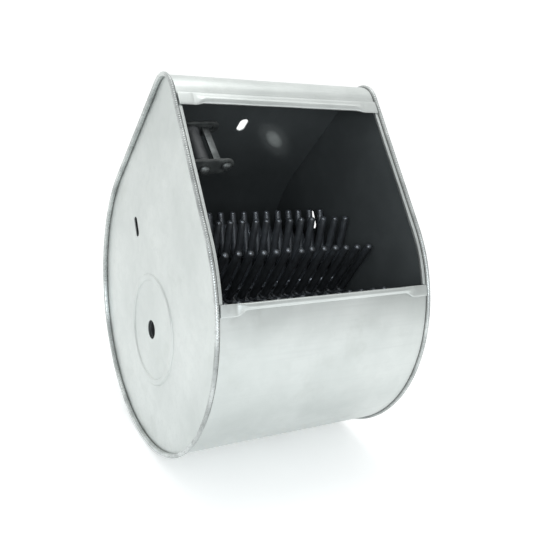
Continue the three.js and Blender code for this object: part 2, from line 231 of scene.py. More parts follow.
def lathe(name, profile, matrix, segments=64, closed=False):
    """A turned piece: profile of (r, h) pairs about local Z, placed by matrix."""
    verts, rings = lathe_points(profile, segments)
    pairs = list(zip(rings, rings[1:] + rings[:1])) if closed else list(zip(rings, rings[1:]))
    faces = [f for a, b in pairs for f in ring_faces(a, b)]
    return make_object(name, [matrix @ v for v in verts], faces)


def rounded(profile, radius, steps=4):
    """A closed r, h polygon with each corner rounded by an arc."""
    out = []
    n = len(profile)
    for i in range(n):
        p = Vector(profile[i])
        a = Vector(profile[i - 1]) - p
        b = Vector(profile[(i + 1) % n]) - p
        cut = min(radius, a.length * 0.45, b.length * 0.45)
        p0, p2 = p + a.normalized() * cut, p + b.normalized() * cut
        for k in range(steps + 1):
            t = k / steps
            out.append(tuple(p0 * (1 - t) ** 2 + p * 2 * t * (1 - t) + p2 * t * t))
    return out


def prism(name, outline, low, high, matrix, bevel=0.6 * MM):
    """An x, y outline made solid from low to high along local Z, with rounded edges."""
    n = len(outline)
    verts = [(x, y, low) for x, y in outline] + [(x, y, high) for x, y in outline]
    faces = [tuple(reversed(range(n))), tuple(range(n, 2 * n))]
    faces += [(i, (i + 1) % n, n + (i + 1) % n, n + i) for i in range(n)]
    obj = make_object(name, [matrix @ Vector(v) for v in verts], faces)
    if bevel:
        modifier = obj.modifiers.new("edges", "BEVEL")
        modifier.width = bevel
        modifier.segments = 3
        modifier.limit_method = "ANGLE"
        modifier.angle_limit = math.radians(35)
        apply_modifiers(obj)
    return obj


def apply_modifiers(obj):
    bpy.context.view_layer.update()
    evaluated = obj.evaluated_get(bpy.context.evaluated_depsgraph_get())
    mesh = bpy.data.meshes.new_from_object(evaluated)
    old = obj.data
    obj.modifiers.clear()
    obj.data = mesh
    bpy.data.meshes.remove(old)
    tidy_mesh(obj)


def cut(obj, *tools):
    """Cuts tools out of obj and removes them."""
    for tool in tools:
        modifier = obj.modifiers.new("cut", "BOOLEAN")
        modifier.operation = "DIFFERENCE"
        modifier.solver = "EXACT"
        modifier.object = tool
    apply_modifiers(obj)
    for tool in tools:
        bpy.data.objects.remove(tool)


def join(name, *objects):
    bm = bmesh.new()
    for obj in objects:
        obj.data.transform(obj.matrix_world)
        bm.from_mesh(obj.data)
        bpy.data.objects.remove(obj)
    mesh = bpy.data.meshes.new(name)
    bm.to_mesh(mesh)
    bm.free()
    joined = bpy.data.objects.new(name, mesh)
    bpy.context.scene.collection.objects.link(joined)
    return joined


def place(obj, body, slot, material, *nodes):
    """Gives a finished piece its material, its body and the nodes that it stands for."""
    obj.data.materials.clear()
    obj.data.materials.append(material)
    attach(obj, body)
    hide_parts(*nodes)
    return obj


# ---------- materials ----------
class Nodes:
    """A short way to write a node tree around one Principled shader."""

    def __init__(self, name):
        self.material = bpy.data.materials.new(name)
        self.material.use_nodes = True
        self.tree = self.material.node_tree
        self.shader = self.tree.nodes["Principled BSDF"]
        self.place = self.add("ShaderNodeTexCoord").outputs["Object"]

    def add(self, kind, **values):
        node = self.tree.nodes.new(kind)
        for key, value in values.items():
            setattr(node, key, value)
        return node

    def link(self, out, socket):
        self.tree.links.new(out, socket)

    def stretched(self, x, y, z):
        node = self.add("ShaderNodeMapping")
        node.inputs["Scale"].default_value = (x, y, z)
        self.link(self.place, node.inputs["Vector"])
        return node.outputs[0]

    def noise(self, scale, detail=4, vector=None, rough=0.5):
        node = self.add("ShaderNodeTexNoise")
        node.inputs["Scale"].default_value = scale
        node.inputs["Detail"].default_value = detail
        node.inputs["Roughness"].default_value = rough
        self.link(vector or self.place, node.inputs["Vector"])
        return node.outputs["Fac"]

    def cells(self, scale, vector=None):
        node = self.add("ShaderNodeTexVoronoi")
        node.inputs["Scale"].default_value = scale
        self.link(vector or self.place, node.inputs["Vector"])
        split = self.add("ShaderNodeSeparateColor")
        self.link(node.outputs["Color"], split.inputs[0])
        return split.outputs[0]

    def remap(self, value, low, high, start=0.3, stop=0.7):
        node = self.add("ShaderNodeMapRange")
        for socket, number in zip(("From Min", "From Max", "To Min", "To Max"), (start, stop, low, high)):
            node.inputs[socket].default_value = number
        self.link(value, node.inputs["Value"])
        return node.outputs["Result"]

    def math(self, operation, a, b):
        node = self.add("ShaderNodeMath", operation=operation)
        for socket, value in zip(node.inputs, (a, b)):
            if isinstance(value, (int, float)):
                socket.default_value = value
            else:
                self.link(value, socket)
        return node.outputs[0]

    def mix(self, factor, first, second):
        node = self.add("ShaderNodeMix", data_type="RGBA")
        for socket, colour in ((node.inputs[6], first), (node.inputs[7], second)):
            if isinstance(colour, tuple):
                socket.default_value = (*colour, 1)
            else:
                self.link(colour, socket)
        self.link(factor, node.inputs[0])
        return node.outputs[2]

    def bump(self, height, strength, distance):
        node = self.add("ShaderNodeBump")
        node.inputs["Strength"].default_value = strength
        node.inputs["Distance"].default_value = distance
        self.link(height, node.inputs["Height"])
        self.link(node.outputs[0], self.shader.inputs["Normal"])

    def set(self, **values):
        for key, value in values.items():
            socket = self.shader.inputs[key.replace("_", " ").title().replace("Ior", "IOR")]
            if isinstance(value, (int, float, tuple)):
                socket.default_value = value
            else:
                self.link(value, socket)
        return self


def galvanised():
    """Zinc-coated sheet: a faint spangle, cloudy patches, rolling streaks and dull handling marks."""
    n = Nodes("galvanised_sheet")
    spangle = n.cells(95)
    clouds = n.noise(9, 5, rough=0.55)
    streaks = n.noise(30, 6, n.stretched(0.35, 9, 9))
    stains = n.noise(16, 8, rough=0.7)
    tone = n.mix(n.remap(clouds, 0, 1, 0.32, 0.68), (0.54, 0.575, 0.56), (0.675, 0.705, 0.69))
    tone = n.mix(n.remap(spangle, 0, 0.10, 0, 1), tone, (0.58, 0.61, 0.605))
    tone = n.mix(n.remap(streaks, 0, 0.3, 0.48, 0.76), tone, (0.54, 0.57, 0.56))
    tone = n.mix(n.remap(stains, 0, 0.5, 0.56, 0.76), tone, (0.49, 0.52, 0.495))
    rough = n.math("ADD", n.remap(clouds, 0.34, 0.46, 0.3, 0.7), n.remap(spangle, -0.03, 0.05, 0, 1))
    n.set(base_color=tone, metallic=0.9, roughness=rough)
    relief = n.math("ADD", n.math("MULTIPLY", spangle, 0.3), streaks)
    n.bump(relief, 0.12, 0.12 * MM)
    return n.material


def seam_metal():
    """The rolled seam: the same zinc, finely grained and patchy, painted darker than the flat sheet as
    shade on the roll, with painted shade along its inboard root.
    """
    n = Nodes("seam_metal")
    grain = n.noise(260, 5)
    clouds = n.noise(28, 4)
    # painted shade: the seam's tone is set darker than the flat sheet's to stand for the roll's shaded
    # reflections
    tone = n.mix(n.remap(clouds, 0, 1, 0.35, 0.65), (0.36, 0.38, 0.375), (0.62, 0.65, 0.64))
    tone = n.mix(n.remap(grain, 0, 0.45, 0.52, 0.75), tone, (0.20, 0.215, 0.21))
    split = n.add("ShaderNodeSeparateXYZ")
    n.link(n.place, split.inputs[0])
    # painted shade: a dark band near the seam's inboard edge, where its groove and inner wall fall in shade
    painted_shade_x = n.math("ABSOLUTE", split.outputs["X"], 0)
    tone = n.mix(n.remap(painted_shade_x, 0.85, 0, EDGE_X - 5.6 * MM, EDGE_X - 4.2 * MM), tone, (0.10, 0.105, 0.10))
    n.set(base_color=tone, metallic=0.92, roughness=n.remap(grain, 0.22, 0.4))
    n.bump(grain, 0.45, 0.2 * MM)
    return n.material


def black_lining():
    """Smooth black coating with a slight orange-peel, dust and rub marks."""
    n = Nodes("black_lining")
    peel = n.noise(420, 3)
    dust = n.noise(22, 8, rough=0.68)
    rubs = n.noise(40, 5, n.stretched(7, 0.6, 0.6))
    tone = n.mix(n.remap(dust, 0, 0.5, 0.45, 0.85), (0.060, 0.068, 0.070), (0.098, 0.109, 0.112))
    tone = n.mix(n.remap(rubs, 0, 0.3, 0.6, 0.85), tone, (0.105, 0.114, 0.118))
    n.set(base_color=tone, roughness=n.remap(dust, 0.3, 0.44), specular_ior_level=0.5)
    n.bump(peel, 0.08, 0.2 * MM)
    return n.material


def finger_rubber():
    """Moulded black rubber, a little shiny and scuffed in patches."""
    n = Nodes("finger_rubber")
    grain = n.noise(900, 3)
    scuff = n.noise(120, 6, rough=0.65)
    tone = n.mix(n.remap(scuff, 0, 1, 0.45, 0.75), (0.015, 0.016, 0.017), (0.028, 0.031, 0.033))
    n.set(base_color=tone, roughness=n.remap(scuff, 0.3, 0.42), specular_ior_level=0.6)
    n.bump(grain, 0.12, 0.12 * MM)
    return n.material


def satin_paint():
    """Dark paint, worn thin in patches."""
    n = Nodes("drum_paint")
    grain = n.noise(500, 4)
    wear = n.noise(60, 7, rough=0.7)
    tone = n.mix(n.remap(wear, 0, 1, 0.55, 0.8), (0.022, 0.024, 0.027), (0.055, 0.057, 0.06))
    n.set(base_color=tone, metallic=0.15, roughness=n.remap(wear, 0.36, 0.5))
    n.bump(grain, 0.15, 0.1 * MM)
    return n.material


def dark_casting():
    """Rough dark cast iron with uneven patches."""
    n = Nodes("dark_casting")
    grain = n.noise(650, 6, rough=0.6)
    patches = n.noise(90, 5)
    tone = n.mix(n.remap(patches, 0, 1, 0.35, 0.65), (0.02, 0.023, 0.023), (0.055, 0.061, 0.06))
    n.set(base_color=tone, metallic=0.4, roughness=n.remap(grain, 0.38, 0.58))
    n.bump(grain, 0.35, 0.25 * MM)
    return n.material


def bright_steel():
    """Plain steel with drawing lines along it."""
    n = Nodes("bright_steel")
    lines = n.noise(160, 6, n.stretched(0.4, 6, 6))
    patches = n.noise(80, 4)
    tone = n.mix(n.remap(patches, 0, 1, 0.35, 0.65), (0.08, 0.088, 0.088), (0.15, 0.16, 0.16))
    n.set(base_color=tone, metallic=0.85, roughness=n.remap(lines, 0.34, 0.5))
    n.bump(lines, 0.15, 0.1 * MM)
    return n.material


def black_plastic():
    """Moulded black plastic with a fine grain."""
    n = Nodes("bush_plastic")
    grain = n.noise(800, 3)
    patches = n.noise(70, 5)
    tone = n.mix(n.remap(patches, 0, 1, 0.35, 0.65), (0.022, 0.024, 0.026), (0.042, 0.045, 0.048))
    n.set(base_color=tone, roughness=n.remap(patches, 0.42, 0.55))
    n.bump(grain, 0.25, 0.15 * MM)
    return n.material


def floor_paper():
    """White studio paper, faintly self-lit so that it stays white."""
    n = Nodes("floor_paper")
    fibre = n.noise(300, 4)
    tone = n.mix(n.remap(fibre, 0, 1), (0.92, 0.925, 0.925), (0.95, 0.955, 0.955))
    n.set(base_color=tone, roughness=0.9, emission_color=(1, 1, 1, 1), emission_strength=0.25)
    return n.material


GALVANISED = galvanised()
SEAM = seam_metal()
BLACK = black_lining()
RUBBER = finger_rubber()
PAINT = satin_paint()
CASTING = dark_casting()
STEEL = bright_steel()
PLASTIC = black_plastic()

X_AXIS = Matrix(((0, 0, 1, 0), (1, 0, 0, 0), (0, 1, 0, 0), (0, 0, 0, 1)))  # local Z to +X
AXLE_FRAME = Matrix.Translation((0, AXLE.x, AXLE.y)) @ X_AXIS


# ---------- sheet-metal housing ----------
HEM_ROOM = 3.9 * MM  # from a lip to the sheet that its rolled edge takes over
ALONG_STEP = 3 * MM  # mesh spacing along the outline
ACROSS_STEP = 6 * MM
EDGE_CALM = 20 * MM  # ripples fade out this close to an edge
LINING_HOLE_EXTRA = 2 * MM
CAP_STEPS = 16  # facets in a slot's rounded end
CUT_REACH = 10 * MM


def sway(p, size, height):
    """A smooth, repeatable ripple of the sheet at a place."""
    return noise.noise(Vector(p) / size) * height


def sheet_band(name, s_values, x_values, outside, thickness, ripple):
    """Sheet that follows the outline, closed on all sides."""
    inside = outside - thickness
    verts = []
    for offset in (outside, inside):
        for s in s_values:
            for x in x_values:
                p = lifted(s, x, offset)
                lift = sway(p, 0.11, ripple) + sway(p, 0.035, ripple * 0.25)
                edge = min(s - s_values[0], s_values[-1] - s, x - x_values[0], x_values[-1] - x)
                lift *= min(1, edge / EDGE_CALM)
                verts.append(lifted(s, x, offset + lift))
    rows, columns = len(s_values), len(x_values)
    layer = rows * columns
    faces = quads(rows, columns)
    faces += [tuple(layer + i for i in reversed(f)) for f in quads(rows, columns)]
    border = [(i * columns, (i + 1) * columns) for i in range(rows - 1)]
    border += [((i + 1) * columns + columns - 1, i * columns + columns - 1) for i in range(rows - 1)]
    border += [(j + 1, j) for j in range(columns - 1)]
    last = (rows - 1) * columns
    border += [(last + j, last + j + 1) for j in range(columns - 1)]
    faces += [(a, b, layer + b, layer + a) for a, b in border]
    return make_object(name, verts, faces)


def slot_outline(length, width):
    """A round-ended slot about the origin, with its length along y."""
    r = width / 2
    half = length / 2 - r
    outline = []
    for end, start in ((1, -math.pi / 2), (-1, math.pi / 2)):
        for k in range(CAP_STEPS + 1):
            a = start + math.pi * k / CAP_STEPS
            outline.append((r * math.sin(a), end * half + r * math.cos(a)))
    return outline


def slope_tool(length, width, x, s):
    """A cutter through the wrap at s, x: a round-ended post across the sheet."""
    p, n = outline_at(s)
    across, along, out = Vector((1, 0, 0)), Vector((0, -n.y, n.x)), Vector((0, n.x, n.y))
    matrix = Matrix((across, along, out)).transposed().to_4x4()
    matrix.translation = Vector((x, p.x, p.y))
    return prism("tool", slot_outline(length, width), -CUT_REACH, CUT_REACH, matrix, 0)


def back_hole_tools(extra):
    """Cutters for the hanging slot and the two low holes, widened by extra."""
    s_hang = -SLOPE_RUN / 2 - HANG_HOLE_RISE
    s_low = (BACK_HOLE_ANGLE - SLOPE) * BELLY_R
    return [
        slope_tool(HANG_HOLE_LENGTH + extra, BACK_HOLE_WIDTH + extra, 0, s_hang),
        slope_tool(BACK_HOLE_WIDTH + extra, BACK_HOLE_WIDTH + extra, BACK_HOLE_X, s_low),
        slope_tool(BACK_HOLE_WIDTH + extra, BACK_HOLE_WIDTH + extra, -BACK_HOLE_X, s_low),
    ]


def build_wrap():
    """The long sheet round the outline, and the black lining inside it."""
    start, end = LIP_TOP + HEM_ROOM - OUTLINE, LIP_BOTTOM - HEM_ROOM
    s_values = spread(start, end, ALONG_STEP)
    x_values = spread(-WRAP_X, WRAP_X, ACROSS_STEP)
    wrap = sheet_band("housing_wrap", s_values, x_values, 0, SHEET, 0.35 * MM)
    cut(wrap, *back_hole_tools(0))
    place(wrap, "housing", "galvanised_sheet", GALVANISED, "body_wrap")

    half = LINING_X - GAP
    x_values = spread(-half, half, ACROSS_STEP)
    lining = sheet_band("wrap_black_lining", s_values, x_values, -SHEET - GAP, LINING, 0.25 * MM)
    cut(lining, *back_hole_tools(LINING_HOLE_EXTRA))
    place(lining, "housing", "black_lining", BLACK, "wrap_lining")


def reach(angle, offset):
    """Distance from the axle to the outline at an angle from straight up, less an inset."""
    low, high = 0.0, 0.4
    direction = heading(angle)
    for _ in range(40):
        middle = (low + high) / 2
        p = AXLE + direction * middle - BELLY
        if depth_outside(p) < offset:
            low = middle
        else:
            high = middle
    return low


def depth_outside(p):
    """How far a y, z point, from the belly's centre, lies outside the outline; negative is inside."""
    side = Vector((abs(p.x), p.y))
    n = heading(SLOPE)
    along = side.dot(Vector((-n.y, n.x)))
    if along <= 0:
        return side.length - BELLY_R
    if along >= SLOPE_RUN:
        return (side - Vector((0, RIDGE_Z))).length - RIDGE_R
    return side.dot(n) - BELLY_R


RING_HEIGHT = 1.7 * MM
RING_STEP = 0.6 * MM  # mesh spacing across the pressed ring


def boss_lift(r):
    """Height of the pressed ring at a radius: a rounded bead."""
    t = abs(r - (BOSS_R - BOSS_BAND / 2)) / (BOSS_BAND / 2 + 0.8 * MM)
    return 0 if t >= 1 else RING_HEIGHT * (1 - t**8) ** 2


def end_sheet(name, side, x_out, thickness, ripple, ringed, spacing):
    """A teardrop sheet with the shaft hole; ringed adds the pressed ring."""
    turns = 288  # facets round the plate
    angles = [2 * math.pi * i / turns for i in range(turns)]
    reaches = [reach(a, -1.5 * MM) for a in angles]
    ring_from, ring_to = BOSS_R - BOSS_BAND - 2 * MM, BOSS_R + 2 * MM
    near = spread(SHAFT_HOLE_R, ring_from, 4 * MM)[:-1] + spread(ring_from, ring_to, RING_STEP)
    far = [k / spacing for k in range(1, spacing + 1)]
    layers = []
    rows = len(near) + len(far)
    for inner in (0, thickness):
        for step in range(rows):
            for a, limit in zip(angles, reaches):
                if step < len(near):
                    r = near[step]
                else:
                    r = near[-1] + (limit - near[-1]) * far[step - len(near)]
                q = AXLE + heading(a) * r
                x = x_out - inner
                if ringed:
                    x += boss_lift(r)
                edge = min(1, (limit - r) / (30 * MM), (r - SHAFT_HOLE_R) / EDGE_CALM)
                broad = sway((0, q.x, q.y + side), 0.12, ripple)
                x += (broad + sway((side, q.x, q.y), 0.045, ripple * 0.3)) * edge
                layers.append(Vector((x * side, q.x, q.y)))
    faces = quads(rows, turns, False, True)
    layer = rows * turns
    faces += [tuple(layer + i for i in reversed(f)) for f in quads(rows, turns, False, True)]
    for j in range(turns):
        j2 = (j + 1) % turns
        faces.append((j, j2, layer + j2, layer + j))
        a, b = layer - turns + j, layer - turns + j2
        faces.append((b, a, layer + a, layer + b))
    return make_object(name, layers, faces)


def slot_tool(side, extra):
    """A cutter for the end plate's slot, widened by extra on every side."""
    angle = math.atan2(SLOT_AT.x, SLOT_AT.y + AXLE_DROP)
    n = heading(angle)
    across, along, out = Vector((0, n.y, -n.x)), Vector((0, n.x, n.y)), Vector((1, 0, 0))
    outline = slot_outline(SLOT_LENGTH + 2 * extra, SLOT_WIDTH + 2 * extra)
    matrix = Matrix((across, along, out)).transposed().to_4x4()
    matrix.translation = Vector((side * WRAP_X, BELLY.x + SLOT_AT.x, BELLY.y + SLOT_AT.y))
    return prism("tool", outline, -CUT_REACH, CUT_REACH, matrix, 0)


def build_end(side, word):
    """An end plate with its pressed ring and slot, and its black lining."""
    plate = end_sheet(word + "_plate", side, WRAP_X, SHEET, 0.45 * MM, True, 22)
    cut(plate, slot_tool(side, 0))
    place(plate, "housing", "galvanised_sheet", GALVANISED, word + "_end_plate")
    lining = end_sheet(word + "_black_lining", side, LINING_X + LINING, LINING, 0.2 * MM, False, 14)
    cut(lining, slot_tool(side, 1 * MM))
    place(lining, "housing", "black_lining", BLACK, word + "_side_lining")


RIM_PROFILE = [  # x back from the outer edge, height off the outline, how far the roller marked it
    (5.8, -2.5, 0), (3.8, -2.6, 0), (2.0, -2.5, 0), (0.9, -2.1, 0), (0.3, -1.2, 0), (0.0, 0.1, 0.2),
    (0.2, 1.4, 0.6), (0.8, 2.4, 1), (1.7, 2.95, 1), (2.8, 3.0, 1), (3.8, 2.7, 1), (4.5, 2.0, 0.7),
    (4.9, 1.1, 0.3), (5.3, 0.5, 0), (5.9, 0.35, 0), (6.0, -1.0, 0),
]
SERRATION_PITCH = 2.9 * MM
SERRATION_DEPTH = 0.22 * MM


def build_rim(side, word):
    """The rolled seam: a bead with fine cross marks, an inner wall and a shallow groove inboard."""
    count = round(OUTLINE / (SERRATION_PITCH / 4)) // 4 * 4
    sections = []
    for i in range(count):
        s = OUTLINE * i / count
        tooth = math.cos(2 * math.pi * i / 4)
        wander = noise.noise(Vector((s * 14, side * 3, 0))) * 0.25 * MM
        section = []
        for back, height, marked in RIM_PROFILE:
            offset = height * MM + marked * (SERRATION_DEPTH * tooth) + wander * min(1, abs(height) / 2)
            section.append(lifted(s, side * (EDGE_X - back * MM), offset))
        sections.append(section)
    rim = swept(word + "_rolled_seam", sections, True)
    place(rim, "housing", "galvanised_sheet", SEAM, word + "_rim")


def build_strip(side, word):
    """The narrow turned edge of the end plate beside the opening, with its lip turned inwards."""
    inner = WRAP_X - 4 * MM
    profile = [
        (WRAP_X, 0), (inner + 1.2 * MM, 0), (inner + 0.3 * MM, -0.3 * MM), (inner, -1.2 * MM),
        (inner, -3.4 * MM), (inner + 0.4 * MM, -3.8 * MM), (inner + 0.9 * MM, -3.4 * MM),
        (inner + 1.0 * MM, -1.4 * MM), (inner + 1.6 * MM, -1.2 * MM), (WRAP_X, -1.2 * MM),
    ]
    sections = []
    for s in spread(LIP_BOTTOM + HEM_ROOM, LIP_TOP - HEM_ROOM, 4 * MM):
        wander = noise.noise(Vector((s * 22, side * 5, 2))) * 0.3 * MM
        section = []
        for x, offset in profile:
            inset = wander if x < inner + 2 * MM else 0
            section.append(lifted(s, side * (x - inset), offset))
        sections.append(section)
    strip = swept(word + "_turned_edge", sections, False)
    place(strip, "housing", "galvanised_sheet", GALVANISED, word + "_edge_strip")


HEM_HALF = WRAP_X - GAP
HEM_FRONT = 3.6 * MM  # roll, past the lip
TAB_BACK = 10.4 * MM  # flattened end, over its sheet
TAB_RUN = 20 * MM  # its length, before it gathers into the roll
TAPER_RUN = 14 * MM
FLAT_HALF = 0.95 * MM  # half the thickness of folded sheet
ROLL_HALF = 3.4 * MM


def smooth(t):
    t = max(0.0, min(1.0, t))
    return t * t * (3 - 2 * t)


def hem_section(x, beyond, roll_back, phase):
    """Cross-section of a rolled edge at width x, as (distance onto the sheet, height) pairs."""
    near_end = HEM_HALF - abs(x)
    t = smooth((near_end - TAB_RUN) / TAPER_RUN)
    back = TAB_BACK + (roll_back - TAB_BACK) * t
    front = -beyond + (beyond - HEM_FRONT) * t
    sag = noise.noise(Vector((x * 30, phase, 0))) * 0.5 * MM
    crease = 0.5 * MM * math.exp(-(((near_end - TAB_RUN) / (2.5 * MM)) ** 2))
    points = []
    for k in range(32):
        a = 2 * math.pi * k / 32
        c, v = math.cos(a), math.sin(a)
        square = 4 - 1.9 * t
        u = math.copysign(abs(c) ** (2 / square), c)
        v = math.copysign(abs(v) ** (2 / square), v)
        along = (back + front) / 2 + (back - front) / 2 * u
        rolled = t * smooth((ROLL_HALF * 1.3 - along) / (ROLL_HALF * 0.8))
        half = FLAT_HALF + (ROLL_HALF - FLAT_HALF) * rolled
        middle = 1.4 * MM * (1 - rolled) + 0.2 * MM * rolled
        height = middle + half * v - crease * max(0, v) + sag * 0.3
        points.append((along + (sag * 0.4 if u < 0 else 0), height))
    return points


def build_hem(name, node, s_lip, onto, beyond, roll_back, phase):
    """A rolled edge along a lip; onto is +1 where its sheet lies further along the outline."""
    sections = []
    for x in spread(-HEM_HALF, HEM_HALF, 1.6 * MM):
        section = hem_section(x, beyond, roll_back, phase)
        sections.append([lifted(s_lip + onto * a, x, h) for a, h in section])
    hem = swept(name, sections, False)
    place(hem, "housing", "galvanised_sheet", GALVANISED, node)


# ---------- bushes and rotor ----------
def build_bush(side, word):
    """A flanged plastic bush round the shaft."""
    low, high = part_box(word + "_bush")
    outer = high.x if side > 0 else -low.x
    profile = [(32, 0), (32, 3), (19, 3), (16.5, 9), (10.3, 9), (10.3, 0)]
    points = [(r * MM, side * (outer - h * MM)) for r, h in profile]
    bush = lathe(word + "_shaft_bush", rounded(points, 0.7 * MM), AXLE_FRAME, 72, True)
    place(bush, "housing", "bush_plastic", PLASTIC, word + "_bush")


def build_drum():
    """The drum tube and the two discs that close it."""
    wall = 4 * MM
    low, high = DRUM_MIDDLE - DRUM_HALF, DRUM_MIDDLE + DRUM_HALF
    corners = [(DRUM_R, low), (DRUM_R, high), (DRUM_R - wall, high), (DRUM_R - wall, low)]
    drum = lathe("finger_drum", rounded(corners, 1 * MM), AXLE_FRAME, 120, True)
    place(drum, "rotor", "drum_paint", PAINT, "rotor_drum")
    for side, word in ((1, "right"), (-1, "left")):
        low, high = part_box(word + "_rotor_disc")
        x0, x1 = (low.x, high.x) if side > 0 else (high.x, low.x)
        edge = (high.y - low.y) / 2
        hub = 10.35 * MM
        step = side * 2.2 * MM
        corners = [(edge, x0), (edge, x1), (26 * MM, x1), (22 * MM, x1 + step), (hub, x1 + step), (hub, x0)]
        disc = lathe(word + "_drum_end", rounded(corners, 0.6 * MM), AXLE_FRAME, 96, True)
        place(disc, "rotor", "drum_paint", PAINT, word + "_rotor_disc")


def build_shaft():
    """The cross shaft, chamfered at both ends, with a keyway in its driven end."""
    low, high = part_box("rotor_shaft")
    r, chamfer = (high.y - low.y) / 2, 1.5 * MM
    profile = [(0, low.x), (3 * MM, low.x), (r - chamfer, low.x), (r, low.x + chamfer)]
    profile += [(r, high.x - chamfer), (r - chamfer, high.x), (0, high.x)]
    shaft = lathe("cross_shaft", profile, AXLE_FRAME, 64)
    half, floor, top = 2.5 * MM, 7.4 * MM, 14 * MM
    section = [(-half, floor), (half, floor), (half, top), (-half, top)]
    keyway = prism("tool", section, high.x - 16 * MM, high.x + 4 * MM, AXLE_FRAME, 0)
    cut(shaft, keyway)
    place(shaft, "rotor", "drum_paint", PAINT, "rotor_shaft")


FOOT = DRUM_R + GAP + 4.2 * MM  # top of a row's strip
FINGER_LENGTH = 100 * MM
LEAN = 0.012  # most that a fingertip strays, as a part of its length


def finger_profile():
    """Radius and height of a finger: a rounded foot, a short neck and a taper to a blunt round tip."""
    tip_r, root_r, blunt = 4.7 * MM, 5.6 * MM, 3.6 * MM
    profile = [(0, FOOT - 1.5 * MM), (7.6 * MM, FOOT - 1.5 * MM), (7.7 * MM, FOOT + 0.6 * MM)]
    profile += [(7.4 * MM, FOOT + 1.8 * MM), (6.8 * MM, FOOT + 2.6 * MM), (root_r, FOOT + 4 * MM)]
    top = FINGER_TIP - blunt
    for k in range(1, 9):
        t = k / 8
        profile.append((root_r + (tip_r - root_r) * t, FOOT + 4 * MM + (top - FOOT - 4 * MM) * t))
    for k in range(1, 7):
        a = math.pi / 2 * k / 6
        profile.append((tip_r * math.cos(a) ** 0.9, top + blunt * math.sin(a)))
    profile[-1] = (0, FINGER_TIP)
    return profile


def build_finger_row(index):
    """One moulded strip with its fingers, each leaning a hair its own way."""
    rng = random.Random(100 + index)
    verts, rings = lathe_points(finger_profile(), 22)
    side_faces = [f for a, b in zip(rings, rings[1:]) for f in ring_faces(a, b)]
    all_verts, all_faces = [], []
    for k in range(FINGERS_PER_ROW):
        x = DRUM_MIDDLE + (k - (FINGERS_PER_ROW - 1) / 2) * FINGER_PITCH
        lean_x, lean_y = rng.uniform(-LEAN, LEAN), rng.uniform(-LEAN, LEAN)
        base = len(all_verts)
        for v in verts:
            bend = (v.z - FOOT) ** 2 / FINGER_LENGTH
            all_verts.append(Vector((v.x + x + lean_x * bend, v.y + lean_y * bend, v.z)))
        all_faces += [tuple(base + i for i in f) for f in side_faces]
    fingers = make_object("fingers", all_verts, all_faces)
    half, under = 7 * MM, DRUM_R + GAP
    section = [(-half, under), (half, under), (half, FOOT), (-half, FOOT)]
    strip = prism("strip", section, DRUM_MIDDLE - DRUM_HALF, DRUM_MIDDLE + DRUM_HALF, X_AXIS, 1.4 * MM)
    row = join(f"rubber_finger_row_{index + 1:02d}", fingers, strip)
    turn = FIRST_ROW_ANGLE + 2 * math.pi * index / FINGER_ROWS
    row.data.transform(Matrix.Translation((0, AXLE.x, AXLE.y)) @ Matrix.Rotation(-turn, 4, "X"))
    return place(row, "rotor", "finger_rubber", RUBBER, f"finger_row_{index + 1:02d}")


# ---------- spool bracket ----------
BRACKET_AT = Vector((-57.6 * MM, 215.2 * MM))  # from the belly's centre
SPOOL_DIR = Vector((0, -0.806, -0.592)).normalized()
LUG_HALF = 28 * MM
LUG_THICK = 4 * MM
LUG_REACH = 54 * MM
SPOOL_AT = (18 * MM, -8 * MM)
TIE_X = 35 * MM
TIE_Y = -1 * MM
BOLT_X = 44 * MM


def bracket_frame():
    """Local X into the housing, Y to the front and Z along the spool."""
    inward = Vector((1, 0, 0))
    front = SPOOL_DIR.cross(inward)
    matrix = Matrix((inward, front, SPOOL_DIR)).transposed().to_4x4()
    matrix.translation = Vector((-LINING_X + GAP, BELLY.x + BRACKET_AT.x, BELLY.y + BRACKET_AT.y))
    return matrix


def lug_outline():
    """Side view of a lug: straight at the wall, round at the free end."""
    r = 9 * MM
    centre = (LUG_REACH - r, 8 * MM - r)
    points = [(1 * MM, -22 * MM), (LUG_REACH - r, 8 * MM - 2 * r - 4 * MM)]
    points += [
        (centre[0] + r * math.cos(a), centre[1] + r * math.sin(a))
        for a in (math.radians(-90 + 15 * k) for k in range(13))
    ]
    points.append((1 * MM, 5 * MM))
    return points


def bolt_profile(radius, low, high):
    """A round shank from low to high with a domed head beyond high."""
    head = radius * 2
    profile = [(0, low), (radius, low), (radius, high), (head, high), (head, high + radius * 0.5)]
    for k in range(1, 7):
        a = math.pi / 2 * k / 6
        profile.append((head * math.cos(a), high + radius * 0.5 + radius * 0.9 * math.sin(a)))
    profile[-1] = (0, high + radius * 1.4)
    return profile


